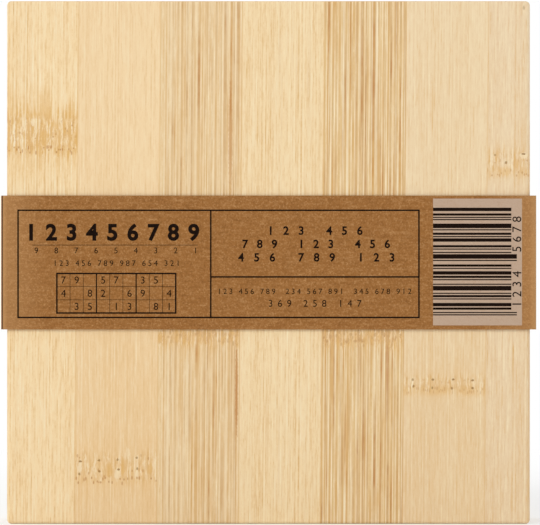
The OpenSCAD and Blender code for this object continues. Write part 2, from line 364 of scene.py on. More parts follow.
class Graph:
    """Adds nodes to a tree by short calls, most of which give back an output socket."""

    def __init__(self, tree):
        self.tree = tree

    def feed(self, socket, value):
        if isinstance(value, bpy.types.NodeSocket):
            self.tree.links.new(value, socket)
        else:
            socket.default_value = value

    def feed_all(self, node, inputs):
        for name, value in inputs.items():
            self.feed(node.inputs[name.replace("_", " ")], value)
        return node

    def node(self, kind, **inputs):
        return self.feed_all(self.tree.nodes.new("ShaderNode" + kind), inputs)

    def group(self, name, **inputs):
        node = self.node("Group")
        node.node_tree = node_group(name)
        return self.feed_all(node, inputs).outputs

    def operate(self, kind, operation, values):
        node = self.node(kind)
        node.operation = operation
        for socket, value in zip(node.inputs, values):
            self.feed(socket, value)
        return node

    def math(self, operation, *values):
        return self.operate("Math", operation, values).outputs[0]

    plus = partialmethod(math, "ADD")
    minus = partialmethod(math, "SUBTRACT")
    ratio = partialmethod(math, "DIVIDE")
    most = partialmethod(math, "MAXIMUM")
    least = partialmethod(math, "MINIMUM")
    over = partialmethod(math, "GREATER_THAN")
    under = partialmethod(math, "LESS_THAN")
    size = partialmethod(math, "ABSOLUTE")  # the value without its sign
    line = partialmethod(math, "MULTIPLY_ADD")  # the value times a slope, from a start

    def times(self, first, *others):
        """The product of two or more values."""
        for value in others:
            first = self.math("MULTIPLY", first, value)
        return first

    def between(self, value, low, high):
        """0 at low, 1 at high and smooth between them; low can be the larger."""
        node = self.node("MapRange", Value=value, From_Min=low, From_Max=high)
        node.interpolation_type = "SMOOTHSTEP"
        return node.outputs[0]

    def vector(self, operation, *values):
        return self.operate("VectorMath", operation, values).outputs[0]

    def xyz(self, vector):
        return self.node("SeparateXYZ", Vector=vector).outputs

    def join(self, x, y, z):
        return self.node("CombineXYZ", X=x, Y=y, Z=z).outputs[0]

    def length(self, x, y):
        return self.operate("VectorMath", "LENGTH", [self.join(x, y, 0.0)]).outputs["Value"]

    def mix(self, factor, first, second):
        """A colour from first, at factor 0, to second, at factor 1."""
        node = self.node("Mix")
        node.data_type = "RGBA"
        for index, value in ((0, factor), (6, first), (7, second)):
            self.feed(node.inputs[index], value)
        return node.outputs[2]

    def coat(self, colour, *coats):
        """The colour with others laid over it in turn, each given as a mask, a strength and a colour."""
        for mask, strength, over in coats:
            colour = self.mix(self.times(mask, strength), colour, over)
        return colour

    def shine_where(self, mask, shader, white, end):
        """Ends the graph in a shader that a white one takes the place of where the mask is."""
        blend = self.node("MixShader")
        for socket, value in zip(blend.inputs, (mask, shader.outputs[0], white.outputs[0])):
            self.feed(socket, value)
        self.feed(self.tree.nodes[end].inputs["Surface"], blend.outputs[0])

    def white(self, vector):
        return self.node("TexWhiteNoise", Vector=vector).outputs[0]

    def noise(self, position, across, along, seed, detail):
        """Soft noise with this many waves a metre across X and Y, and along Z."""
        shift = self.join(seed, self.times(seed, 1.7), self.times(seed, 2.3))
        place = self.vector("MULTIPLY_ADD", position, (across, across, along), shift)
        node = self.node("TexNoise", Vector=place, Scale=1.0, Detail=detail, Roughness=NOISE_ROUGHNESS)
        return node.outputs[0]

    def flat_noise(self, side, height, across, along, seed, detail=2, roughness=NOISE_ROUGHNESS):
        """Soft noise on a face, with this many waves a metre to the side and upwards."""
        place = self.join(self.line(side, across, seed), self.times(height, along), 0.0)
        node = self.node("TexNoise", Vector=place, Scale=1.0, Detail=detail, Roughness=roughness)
        node.noise_dimensions = "2D"
        return node.outputs[0]

    def threads(self, side, pitch, seed):
        """Threads side by side, this many a metre: each one's number, and the place in it, -0.5 to 0.5."""
        sway = self.flat_noise(side, 0.0, 0.3 * pitch, 0.0, seed, 1)
        count = self.line(side, pitch, self.line(sway, 1.4, seed))
        number = self.math("FLOOR", count)
        return number, self.minus(self.minus(count, number), 0.5)

    def shades(self, number, height, seed, kind):
        """A shade of mean 0 for threads of a kind, which changes from thread to thread and along each one."""
        turns = self.line(self.math("PINGPONG", number, 1.0), 0.5, -0.75)
        fixed = self.plus(self.white(self.join(number, seed, 0.0)), turns)
        changes = self.flat_noise(number, height, 13.7, kind.along, seed, 5, kind.roughness)
        return self.line(fixed, kind.steady, self.times(self.minus(changes, 0.5), kind.drift))

    def draws(self, number, seed):
        """Three random numbers, 0 to 1, for each thread."""
        return [self.white(self.join(number, seed, float(k))) for k in (1, 2, 3)]


def bamboo_fibre(graph, given):
    """Fine dark and pale fibres, and broad brown and pale stripes, that run along Z."""
    x, y, z = graph.xyz(given["Position"])
    side = graph.line(y, THREAD_SLANT, x)
    fine, brown, cream, warm = 0.0, 0.0, 0.0, 0.0
    for kind in FINE_THREADS:
        seed = graph.plus(given["Seed"], kind.pitch / 100)
        number, across = graph.threads(side, kind.pitch, seed)
        body = graph.between(graph.size(across), 0.5, 0.2)
        fine = graph.line(body, graph.times(graph.shades(number, z, seed, kind), kind.strength), fine)
    for kind in STRIPE_THREADS:
        seed = graph.plus(given["Seed"], kind.pitch / 100)
        number, across = graph.threads(side, kind.pitch, seed)
        edge = graph.size(across)
        beside = graph.plus(number, graph.over(across, 0.0))
        dark = graph.line(graph.shades(number, z, seed, kind), 0.8, 0.4)
        light = graph.line(graph.shades(beside, z, graph.plus(seed, 3.0), kind), 0.8, 0.4)
        dark = graph.times(graph.between(edge, 0.38, 0.14), graph.most(dark, 0.0), kind.strength)
        light = graph.times(graph.between(edge, 0.24, 0.44), graph.most(light, 0.0), kind.strength)
        golden = graph.between(graph.white(graph.join(number, seed, 9.0)), 0.5, 0.8)
        brown = graph.most(brown, dark)
        cream = graph.most(cream, light)
        warm = graph.most(warm, graph.times(dark, golden))
    return {"Dark": graph.most(fine, 0.0), "Pale": graph.most(graph.times(fine, -1.0), 0.0),
            "Brown Stripe": brown, "Pale Stripe": cream, "Warm Stripe": warm,
            "Slow": graph.flat_noise(side, z, 90, 14, given["Seed"])}


def chips(graph, x, up, seed, pitch, middle, half, spread, share):
    """Upright lens-shaped chips, one on each of a share of the threads, near a middle height."""
    number, across = graph.threads(x, pitch, seed)
    place, length, chance = graph.draws(number, seed)
    centre = graph.line(graph.minus(place, 0.5), spread, middle)
    tall = graph.times(graph.line(length, 0.6, 0.4), half)
    far = graph.length(graph.times(across, 2.1), graph.ratio(graph.minus(up, centre), tall))
    return graph.times(graph.between(far, 1.0, 0.5), graph.under(chance, share))


def fringe(graph, x, up, seed, pitch, root, tip, share):
    """Pointed streaks on a share of the threads, from about a root height to tips of differing length."""
    number, across = graph.threads(x, pitch, seed)
    base, length, chance = graph.draws(number, seed)
    start = graph.times(graph.line(base, 0.6, 0.7), root)
    end = graph.times(graph.line(length, 0.6, 0.4), tip)
    run = graph.between(up, start, end)
    half = graph.line(run, -0.4, 0.46)
    body = graph.between(graph.size(across), half, graph.times(half, 0.4))
    taper = graph.times(body, graph.between(run, 0.0, 0.08), graph.between(run, 1.0, 0.25))
    faint = graph.line(chance, -0.4 / share, 1.0)
    return graph.times(taper, graph.under(chance, share), faint)


def bamboo_knuckle(graph, given):
    """Golden and pale patches, dashes and streaks of a joint of the bamboo, at a height along Z."""
    seed, reach, drop = given["Seed"], given["Reach"], given["Drop"]
    x, _, z = graph.xyz(given["Position"])
    up = graph.minus(z, given["Height"])

    def seeded(step):
        return graph.plus(seed, step)

    def streaks(step, pitch, root, tip, share):
        heights = (graph.times(reach, value) for value in (root, tip))
        return fringe(graph, x, up, seeded(step), pitch, *heights, share)

    def flecks(step, pitch, half, spread, share, middle=0.0):
        return chips(graph, x, up, seeded(step), pitch, middle, half, spread, share)

    number, _ = graph.threads(x, 1100, seed)
    jag = graph.times(graph.white(graph.join(number, seed, 5.0)), 0.8)
    away = graph.ratio(graph.size(up), reach)
    core = graph.between(graph.plus(away, jag), 1.7, 0.9)
    bend = graph.line(graph.flat_noise(x, z, 300, 200, seeded(1.0), 1), 1.2 * MM, x)
    patchy = graph.flat_noise(bend, z, 900, 150, seeded(2.0), 3, 0.65)
    rim = graph.between(graph.size(graph.minus(patchy, 0.5)), 0.025, 0.006)
    flame = graph.most(streaks(5.0, pitch=900, root=0.6, tip=3.2, share=0.7),
                       streaks(6.0, pitch=1050, root=-0.6, tip=-3.0, share=0.8))
    hazy = graph.between(graph.flat_noise(x, z, 520, 36, seeded(3.0), 3, 0.6), 0.38, 0.66)
    haze = graph.times(graph.between(away, 3.4, 0.8), hazy, 0.6)
    dash = flecks(7.0, 1800, half=0.8 * MM, spread=1.8 * MM, share=0.65, middle=graph.times(drop, -1.0))
    specks = flecks(8.0, 1500, half=0.7 * MM, spread=graph.times(reach, 1.7), share=0.3)
    wide = graph.times(reach, 1.8)
    fleck = [flecks(step, pitch, half=1.1 * MM, spread=wide, share=0.6)
             for step, pitch in ((10.0, 1300), (11.0, 1000))]
    cloud = graph.between(graph.flat_noise(x, z, 260, 120, seed), 0.15, 0.55)
    level = graph.size(graph.plus(up, drop))
    return {
        "Core": core,
        "Gold": graph.times(graph.between(patchy, 0.49, 0.58), core),
        "Pale": graph.times(graph.between(patchy, 0.46, 0.37), core),
        "Rim": graph.times(rim, core),
        "Flame": graph.most(flame, haze),
        "Dash": graph.most(dash, graph.times(specks, 0.7)),
        "Band": graph.times(graph.between(level, 2.4 * MM, 0.5 * MM), cloud),
        "Fleck": graph.most(*fleck),
    }


def bamboo_spot(graph, given):
    """Mask of one upright oval mark with a torn edge."""
    x, _, z = graph.xyz(given["Position"])
    aside = graph.ratio(graph.minus(x, given["Right"]), given["Width"])
    rise = graph.ratio(graph.minus(z, given["Up"]), given["Height"])
    far = graph.line(graph.length(aside, rise), 2.0, given["Tear"])
    return {"Mask": graph.between(far, 1.2, 0.55)}


def end_grain(graph, given):
    """Mask of the faces across the grain, with the cut fibre bundles on them."""
    facing = graph.size(graph.xyz(given["Normal"])[2])
    across = graph.vector("MULTIPLY", given["Position"], (1500, 1500, 0))
    bundles = graph.node("TexVoronoi", Vector=across, Scale=1.0, Randomness=0.9).outputs["Distance"]
    return {"End": graph.between(facing, 0.72, 0.92), "Bundle": graph.between(bundles, 0.42, 0.18)}


def paper_fibre(graph, given):
    """Grain, and short pale and dark fibres in all directions, of card and paper."""
    place, seed = given["Position"], given["Seed"]
    pale, dark = 0.0, 0.0
    for turn in (0.15, 0.9, 1.75, 2.5):
        rotate = graph.node("VectorRotate", Vector=place, Axis=(0, 1, 0), Angle=turn).outputs[0]
        hair = graph.noise(rotate, 900, 3200, graph.plus(seed, 9 * turn), 1)
        pale = graph.most(pale, graph.between(hair, 0.66, 0.78))
        dark = graph.most(dark, graph.between(hair, 0.34, 0.23))
    laid = graph.vector("MULTIPLY", place, (190, 190, 1150))
    streak = graph.node("TexNoise", Vector=laid, Scale=1.0, Detail=3.0, Roughness=0.6).outputs[0]
    return {"Pale": pale, "Dark": dark, "Grain": graph.noise(place, 2100, 2100, seed, 2),
            "Cloud": graph.noise(place, 260, 300, seed, 3), "Streak": streak}


# What fills each node group, and its inputs; those in VECTORS are vectors and all the others are numbers
GROUPS = {
    "Bamboo Fibre": (bamboo_fibre, ("Position", "Seed")),
    "Bamboo Knuckle": (bamboo_knuckle, ("Position", "Seed", "Height", "Reach", "Drop")),
    "Bamboo Spot": (bamboo_spot, ("Position", "Tear", "Right", "Up", "Width", "Height")),
    "End Grain": (end_grain, ("Position", "Normal")),
    "Paper Fibre": (paper_fibre, ("Position", "Seed")),
}
VECTORS = ("Position", "Normal")


def node_group(name):
    """The shader node group of that name, made at its first use."""
    tree = bpy.data.node_groups.get(name)
    if tree:
        return tree
    tree = bpy.data.node_groups.new(name, "ShaderNodeTree")
    fill, inputs = GROUPS[name]
    for socket in inputs:
        kind = "NodeSocketVector" if socket in VECTORS else "NodeSocketFloat"
        tree.interface.new_socket(name=socket, in_out="INPUT", socket_type=kind)
    found = fill(Graph(tree), tree.nodes.new("NodeGroupInput").outputs)
    for socket in found:
        tree.interface.new_socket(name=socket, in_out="OUTPUT", socket_type="NodeSocketFloat")
    leave = tree.nodes.new("NodeGroupOutput")
    for socket, value in found.items():
        tree.links.new(value, leave.inputs[socket])
    return tree


class Finish(Graph):
    """The graph of a new material, with its shader and where a point of the piece lies at rest."""

    def __init__(self, name, roughness, specular=0.35):
        self.material = bpy.data.materials.new(name)
        self.material.use_nodes = True
        super().__init__(self.material.node_tree)
        self.shader = self.tree.nodes["Principled BSDF"]
        self.shader.inputs["Roughness"].default_value = roughness
        self.shader.inputs["Specular IOR Level"].default_value = specular
        place = self.node("TexCoord")
        self.position = place.outputs["Object"]
        self.normal = place.outputs["Normal"]
        self.place = self.position  # where the grain of wood is read, turned or bent as the piece needs

    def turned(self, vector, along):
        """The vector with the piece's grain direction as Z."""
        if along == "Z":
            return vector
        x, y, z = self.xyz(vector)
        return self.join(z, y, x)

    def emboss(self, height):
        bump = self.node("Bump", Height=height, Strength=0.6, Distance=GRAIN_DEPTH)
        self.feed(self.shader.inputs["Normal"], bump.outputs[0])

    def painted(self, colour, *coats):
        """The material, painted with a colour and the coats over it."""
        self.feed(self.shader.inputs["Base Color"], self.coat(colour, *coats))
        return self.material


def dress(node, material):
    """Gives a solid of the frame a material in place of its plain one."""
    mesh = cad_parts[node].data
    mesh.materials.clear()
    mesh.materials.append(material)


def bamboo_wood(name, looks, colour, seed, fine, stripes, along="Z"):
    """Bamboo with its fibres along one axis. Gives its finish and its colour."""
    wood = Finish(name, roughness=0.5)
    wood.place = wood.turned(wood.position, along)
    fibre = wood.group("Bamboo Fibre", Position=wood.place, Seed=seed)
    return wood, fibred(wood, looks, colour, fibre, fine, fine, stripes)


def fibred(wood, looks, colour, fibre, dark, pale, stripes):
    """The colour with dark and pale fibres and stripes over it, as strong as three numbers or masks say."""
    brown = fibre["Brown Stripe"]
    wood.emboss(fibre["Dark"])
    return wood.coat(
        colour,
        (wood.between(fibre["Slow"], 0.35, 0.75), 0.1, looks.fibre),
        (fibre["Dark"], dark, looks.fibre),
        (fibre["Pale"], pale, looks.pale),
        (brown, stripes, looks.stripe),
        (fibre["Warm Stripe"], wood.times(stripes, 0.6), looks.scar),
        (wood.between(brown, 0.65, 1.2), wood.times(stripes, 0.55), looks.dash),
        (fibre["Pale Stripe"], wood.times(stripes, 0.7), looks.pale),
    )


def cut_ends(wood, looks, paint, plain, along="Z"):
    """The colour with end grain, on a plain ground, where the fibres are cut across."""
    ends = wood.group("End Grain", Position=wood.place, Normal=wood.turned(wood.normal, along))
    shaded = wood.mix(0.22, plain, looks.end_grain)
    dotted = wood.coat(shaded, (ends["Bundle"], 0.5, looks.end_grain))
    return wood.mix(ends["End"], paint, dotted)


def bud_dots(strip):
    """The dots of a strip's buds, none quite like another: flat ones above, tall ones below."""
    dots = []
    for row in strip.buds:
        for pair in range(BUD_PAIRS):
            for lower in (0, 1):
                odd = math.sin(row.right + 5 * pair + 2 * lower)
                right = row.right + pair * row.step + 0.2 * odd
                up = row.up + pair * row.climb - lower * row.gap + 0.25 * odd
                width = 0.85 - 0.15 * lower + 0.15 * odd
                height = 0.7 + 0.1 * lower - 0.1 * odd
                dots.append(Spot("dot", right, up, width, height, 0.72 + 0.1 * odd))
    return dots


def strip_bamboo(looks, strip, node):
    """Bamboo of one strip of the back panel, with its knuckle, its spots and its glue joints."""
    index = STRIP_NODES.index(node)
    seed = STRIP_SEED * (index + 1)
    low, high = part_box(node)
    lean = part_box(STRIP_NODES[0])[1].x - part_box(STRIP_NODES[1])[0].x
    left = low.x + (lean / 2 if index > 0 else 0)
    right = high.x - (lean / 2 if index < len(STRIP_NODES) - 1 else 0)

    wood = Finish(f"bamboo {node}", roughness=0.5)
    x, y, z = wood.xyz(wood.position)
    level = wood.ratio(wood.minus(z, (low.z + high.z) / 2), high.z - low.z)
    upright = wood.line(level, -lean, x)
    joint = strip.knuckle
    knuckle = wood.group("Bamboo Knuckle", Position=wood.join(upright, y, z), Seed=seed,
                         Height=joint.height * MM, Reach=joint.reach * MM, Drop=joint.drop * MM)
    core = knuckle["Core"]
    swirl = wood.line(wood.flat_noise(x, z, 500, 300, seed), 0.8 * MM, -0.4 * MM)
    wood.place = wood.join(wood.line(swirl, core, upright), wood.most(y, low.y + EASED), z)
    fibre = wood.group("Bamboo Fibre", Position=wood.place, Seed=seed)
    set_in = wood.between(upright, left - 0.1 * MM, left + strip.set_in * (right - left))
    stripes = wood.times(set_in, wood.line(core, -0.35, 1.0), strip.stripes)
    paint = wood.coat(
        strip.colour,
        (wood.between(level, 0.35, -0.35), strip.deepen, looks.fibre),
        (knuckle["Flame"], joint.flame, looks.scar),
        (core, 0.35 * joint.gold, looks.scar),
        (knuckle["Gold"], joint.gold, looks.scar),
        (knuckle["Pale"], joint.pale, looks.pale),
        (knuckle["Band"], joint.band, looks.scar),
    )
    dark = wood.plus(core, strip.fine)
    pale = wood.line(core, 0.55, strip.fine)
    paint = wood.coat(
        fibred(wood, looks, paint, fibre, dark, pale, stripes),
        (knuckle["Fleck"], wood.least(stripes, 0.7), looks.stripe),
        (knuckle["Rim"], 0.45 * joint.gold, looks.dash),
        (knuckle["Dash"], joint.dash, looks.dash),
    )
    torn = wood.minus(wood.flat_noise(x, z, 2600, 1100, seed), 0.5)
    for spot in (*strip.spots, *bud_dots(strip)):
        mark = wood.group("Bamboo Spot", Position=wood.position, Tear=torn, Right=spot.right * MM,
                          Up=spot.up * MM, Width=spot.width * MM, Height=spot.height * MM)
        paint = wood.coat(paint, (mark["Mask"], spot.strength, getattr(looks, spot.tone)))
    for edge in (left, right):
        aside = wood.size(wood.minus(upright, edge))
        paint = wood.coat(paint, (wood.between(aside, 0.3 * MM, 0.05 * MM), 0.4, looks.fibre))
    return wood.painted(cut_ends(wood, looks, paint, strip.colour))


def rail_bamboo(name, looks, seed, along):
    """Bamboo of one rail."""
    wood, paint = bamboo_wood(name, looks, looks.rail, seed, fine=1.0, stripes=0.2, along=along)
    return wood.painted(cut_ends(wood, looks, paint, looks.rail, along))


def play_bamboo(looks):
    """Bamboo of the play board, burnt dark where its grid is cut into the face."""
    wood, paint = bamboo_wood("bamboo play board", looks, looks.play, seed=91.0, fine=0.9, stripes=0.12)
    x, y, z = wood.xyz(wood.position)
    low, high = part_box("play_board")
    pegs_low, pegs_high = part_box(PEG_NODES[0])
    burnt = wood.times(
        wood.between(y, high.y - 0.05 * MM, high.y - 0.3 * MM),
        wood.under(wood.size(x), pegs_high.x + GRID_MARGIN),
        wood.over(z, pegs_low.z - GRID_MARGIN),
        wood.under(z, pegs_high.z + GRID_MARGIN),
        wood.over(y, low.y + MM),
    )
    return wood.painted(cut_ends(wood, looks, paint, looks.play), (burnt, 0.9, looks.burnt))


def peg_wood(looks):
    """Turned wood, a little different from peg to peg."""
    wood = Finish("turned peg wood", roughness=0.42)
    pitch, first = peg_grid()
    shift = (0.5 - first.x / pitch, 0, 0.5 - first.z / pitch)
    count = wood.vector("MULTIPLY_ADD", wood.position, (1 / pitch, 0, 1 / pitch), shift)
    tint = wood.white(wood.vector("FLOOR", count))
    grain = wood.noise(wood.position, 700, 130, wood.times(tint, 40.0), 3)
    mixed = wood.line(wood.between(grain, 0.42, 0.7), 0.5, wood.times(tint, 0.3))
    wood.emboss(grain)
    return wood.painted(wood.mix(mixed, looks.wood, looks.grain))


def plain_ink(name, colour, wear):
    """Print that is a little uneven."""
    ink = Finish(name, roughness=0.9, specular=0.05)
    patchy = ink.noise(ink.position, 1800, 1800, 3.0, 2)
    lighter = [min(1.0, 1.8 * value + 0.02) for value in colour[:3]] + [1.0]
    return ink.painted(colour, (ink.between(patchy, 0.5, 0.75), wear, lighter))


def paper(name, colour, pale, dark, seed, strength, streaks=0.0):
    """Card or paper with its grain and fibres, and streaks where it was rolled. Gives finish and colour."""
    sheet = Finish(name, roughness=0.85, specular=0.15)
    fibre = sheet.group("Paper Fibre", Position=sheet.position, Seed=seed)
    sheet.emboss(fibre["Grain"])
    return sheet, sheet.coat(
        colour,
        (sheet.between(fibre["Cloud"], 0.45, 0.75), 0.4 * strength, dark),
        (sheet.between(fibre["Streak"], 0.5, 0.72), streaks, dark),
        (sheet.between(fibre["Streak"], 0.5, 0.28), streaks, pale),
        (sheet.between(fibre["Grain"], 0.5, 0.75), strength, dark),
        (sheet.between(fibre["Grain"], 0.5, 0.25), strength, pale),
        (fibre["Pale"], 0.8 * strength, pale),
        (fibre["Dark"], 0.8 * strength, dark),
    )


def kraft_card(looks):
    """Brown card, paler at its cut edges and towards both ends, with a painted highlight along its folds and
    on the faces turned to +X, and painted shade in the crease of its lap and on the edge of the fold beside
    it.
    """
    card, paint = paper("kraft card", looks.kraft, looks.light, looks.dark, seed=2.0, strength=0.5,
                        streaks=0.28)
    low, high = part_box("sleeve")
    x, y, _ = card.xyz(card.position)
    nx, ny, nz = card.xyz(card.normal)
    fold = card.minus(high.x, card.size(x))
    # Painted shade in the gap between the lap's cut end and the fold: on the inner half of that end, and on
    # the fold where it turns to the side
    lap_shade = card.times(
        card.between(ny, -0.6, -0.9),
        card.between(y, low.y + MM, low.y + 2 * MM),
        card.between(x, low.x + 0.18 * MM, low.x + 0.28 * MM),
    )
    fold_shade = card.times(
        card.between(nx, -0.78, -0.88),
        card.between(x, low.x + 0.3 * MM, low.x + 0.45 * MM),
        card.between(y, low.y + 1.3 * MM, low.y + MM),
    )
    crease = card.times(card.most(lap_shade, fold_shade), card.under(x, low.x + MM))
    return card.painted(
        paint,
        # Paler towards both ends, and a painted highlight along each fold
        (card.between(fold, 16 * MM, 0.0), 0.34, looks.light),
        (card.between(fold, 2.2 * MM, 0.8 * MM), 0.35, looks.light),
        (card.between(card.size(nz), 0.5, 0.8), 0.7, looks.core),
        # Painted highlight on the faces turned to +X
        (card.between(nx, 0.15, 0.7), 0.5, looks.light),
        # Painted shade in the crease of the lap
        (crease, 0.85, looks.crease),
    )


def page_paper(looks):
    """White paper, with painted shade between its leaves along the edges of the stack."""
    pages, paint = paper("page paper", looks.page, looks.page, looks.page_edge, seed=8.0, strength=0.16)
    across = pages.vector("MULTIPLY", pages.position, (30, 9000, 30))
    leaves = pages.node("TexNoise", Vector=across, Scale=1.0, Detail=1.0).outputs[0]
    edge = pages.between(pages.size(pages.xyz(pages.normal)[1]), 0.8, 0.4)
    # Painted shade between the leaves on the edges of the stack
    return pages.painted(paint, (edge, pages.between(leaves, 0.42, 0.6), looks.page_edge))


def staple_wire(looks):
    """Drawn steel wire."""
    wire = Finish("staple wire", roughness=0.3, specular=0.5)
    wire.shader.inputs["Metallic"].default_value = 1.0
    drawn = wire.noise(wire.position, 3000, 300, 4.0, 2)
    darker = [0.6 * value for value in looks.wire[:3]] + [1.0]
    return wire.painted(looks.wire, (drawn, 0.5, darker))


def corners(places):
    """Lowest and highest corner of the box round some places."""
    return Vector(map(min, *places)), Vector(map(max, *places))


def islands(mesh):
    """Centre and highest corner of each separate solid in a mesh."""
    shape = bmesh.new()
    shape.from_mesh(mesh)
    bmesh.ops.remove_doubles(shape, verts=shape.verts, dist=SAME_PLACE)
    left, found = set(shape.verts), []
    while left:
        edge_of_search, members = [left.pop()], []
        while edge_of_search:
            vert = edge_of_search.pop()
            members.append(vert.co.copy())
            near = {edge.other_vert(vert) for edge in vert.link_edges} & left
            left -= near
            edge_of_search.extend(near)
        low, high = corners(members)
        found.append(((low + high) / 2, high))
    shape.free()
    return sorted(found, key=lambda place: (round(place[0].z, 5), round(place[0].x, 5)))


def peg_grid():
    """Distance between neighbouring pegs, and where the grid's first column and row meet."""
    places = [centre for centre, _ in islands(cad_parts[PEG_NODES[0]].data)]
    first, last = corners(places)
    return (last.x - first.x) / (len(places) - 1), first


def add(name, data):
    """A new object in the scene."""
    thing = bpy.data.objects.new(name, data)
    bpy.context.scene.collection.objects.link(thing)
    return thing


class Print:
    """Ink on one face, as one thin mesh. A place on the face is (right, up) as a reader sees it."""

    def __init__(self, name, reading, face_y):
        self.shape = bmesh.new()
        self.name = name
        self.reading = reading
        self.face = Vector((0, face_y, 0))

    def place(self, right, up):
        return self.face + self.reading.to_3x3() @ Vector((right, up, 0))

    def bar(self, left, low, right, high):
        """A filled rectangle."""
        middle = Matrix.Translation(self.place((left + right) / 2, (low + high) / 2))
        scale = Matrix.Diagonal((right - left, high - low, INK_T + INK_SINK, 1))
        lift = Matrix.Translation((0, 0, (INK_T - INK_SINK) / 2))
        bmesh.ops.create_cube(self.shape, size=1, matrix=middle @ self.reading @ lift @ scale)

    def frame(self, left, low, right, high, width):
        """The four ruled sides of a rectangle, measured on their middle."""
        half = width / 2
        for at in (high, low):
            self.bar(left - half, at - half, right + half, at + half)
        for at in (left, right):
            self.bar(at - half, low + half, at + half, high - half)

    def grid(self, sides, columns, rows, clue, height, halves, framed=False):
        """Lines of a grid, every third one thick and none along a frame, and the clues in its cells."""
        left, low, right, high = sides
        wide, tall = (right - left) / columns, (high - low) / rows
        first = int(framed)
        for column in range(first, columns + 1 - first):
            half = halves[column % 3 > 0]
            at = left + column * wide
            self.bar(at - half, low, at + half, high)
        for row in range(first, rows + 1 - first):
            half = halves[row % 3 > 0]
            at = low + row * tall
            self.bar(left, at - half, right, at + half)
        for row in range(rows):
            for column in range(columns):
                text = clue(row, column)
                if text:
                    self.figures(text, left + (column + 0.5) * wide, low + (row + 0.5) * tall, height)

    def figures(self, text, right, up, height, bold=0.0, turn=None, width=0.0):
        """Plain figures of that height, centred on a place and spaced out to a width where one is given."""
        spread = 1.0
        if width:
            narrow, wide = (self.text_mesh(text, bold, spacing) for spacing in (1.0, 2.0))
            tight, loose = (high - low for low, high in map(self.text_box, (narrow, wide)))
            for mesh in (narrow, wide):
                bpy.data.meshes.remove(mesh)
            spread = 1.0 + (width / height * tight.y - tight.x) / (loose.x - tight.x)
        mesh = self.text_mesh(text, bold, spread)
        low, high = self.text_box(mesh)
        centre = Matrix.Translation(-(low + high) / 2)
        lift = Matrix.Translation((0, 0, INK_T))
        spin = turn or Matrix.Identity(4)
        mesh.transform(Matrix.Translation(self.place(right, up)) @ self.reading @ lift @ spin
                       @ Matrix.Scale(height / (high.y - low.y), 4) @ centre)
        self.shape.from_mesh(mesh)
        bpy.data.meshes.remove(mesh)

    def text_box(self, mesh):
        return corners([vertex.co for vertex in mesh.vertices])

    def text_mesh(self, text, bold, spread):
        """Flat figures as a mesh of its own."""
        curve = bpy.data.curves.new("figures", "FONT")
        curve.body = text
        curve.space_character = spread
        curve.offset = bold
        curve.resolution_u = 4
        holder = add("figures", curve)
        bpy.context.view_layer.update()
        flat = holder.evaluated_get(bpy.context.evaluated_depsgraph_get())
        mesh = bpy.data.meshes.new_from_object(flat)
        bpy.data.objects.remove(holder)
        bpy.data.curves.remove(curve)
        return mesh

    def finish(self, material, body):
        mesh = bpy.data.meshes.new(self.name)
        self.shape.to_mesh(mesh)
        self.shape.free()
        mesh.materials.append(material)
        piece = add(self.name, mesh)
        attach(piece, body)


class SUDOKU_OT_back_strips(bpy.types.Operator):
    """Gives each strip of the back panel its own bamboo"""
    bl_idname = "sudoku.back_strips"
    bl_label = "Back Strips"

    def execute(self, context):
        looks = context.scene.sudoku.bamboo
        for node, strip in zip(STRIP_NODES, STRIPS):
            dress(node, strip_bamboo(looks, strip, node))
        return {"FINISHED"}


class SUDOKU_OT_rails(bpy.types.Operator):
    """Gives the rails their bamboo, with the grain along each rail"""
    bl_idname = "sudoku.rails"
    bl_label = "Rails"

    def execute(self, context):
        looks = context.scene.sudoku.bamboo
        for number, (node, along) in enumerate(RAIL_GRAIN.items(), start=FIRST_RAIL):
            dress(node, rail_bamboo(f"bamboo {node}", looks, RAIL_SEED * number, along))
        return {"FINISHED"}


class SUDOKU_OT_play_board(bpy.types.Operator):
    """Gives the play board its bamboo and burnt grid"""
    bl_idname = "sudoku.play_board"
    bl_label = "Play Board"

    def execute(self, context):
        dress("play_board", play_bamboo(context.scene.sudoku.bamboo))
        return {"FINISHED"}


class SUDOKU_OT_pegs(bpy.types.Operator):
    """Gives the pegs their wood and burns the digits into their heads"""
    bl_idname = "sudoku.pegs"
    bl_label = "Pegs"

    def execute(self, context):
        looks = context.scene.sudoku.pegs
        wood = peg_wood(looks)
        ink = plain_ink("burnt digit", looks.ink, wear=0.5)
        for number, node in enumerate(PEG_NODES, start=1):
            dress(node, wood)
            places = islands(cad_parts[node].data)
            digits = Print(f"peg_digits_{number}", FROM_FRONT, places[0][1].y)
            for centre, _ in places:
                digits.figures(str(number), -centre.x, centre.z, looks.digit_h)
            digits.finish(ink, node)
        return {"FINISHED"}


class SUDOKU_OT_booklet(bpy.types.Operator):
    """Gives the booklet its paper and staples, and prints a grid on its cover"""
    bl_idname = "sudoku.booklet"
    bl_label = "Booklet"

    def execute(self, context):
        looks = context.scene.sudoku.booklet
        cover, paint = paper("cover card", looks.cover, looks.page, looks.ink, seed=5.0, strength=0.12)
        dress("booklet_cover", cover.painted(paint))
        dress("booklet_pages", page_paper(looks))
        dress("booklet_staples", staple_wire(looks))

        low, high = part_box("booklet_cover")
        middle = (low.z + high.z) / 2
        half = looks.grid_w / 2
        cells = len(PEG_NODES)

        def clue(row, column):
            digit = (3 * (row % 3) + row // 3 + column) % cells + 1
            return str(digit) if (2 * row + 5 * column) % 4 == 0 else ""

        puzzle = Print("cover_grid", FROM_FRONT, high.y)
        area = (-half, middle - half, half, middle + half)
        puzzle.grid(area, cells, cells, clue, half / cells, COVER_LINES)
        puzzle.finish(plain_ink("cover ink", looks.ink, wear=0.4), "booklet")
        return {"FINISHED"}


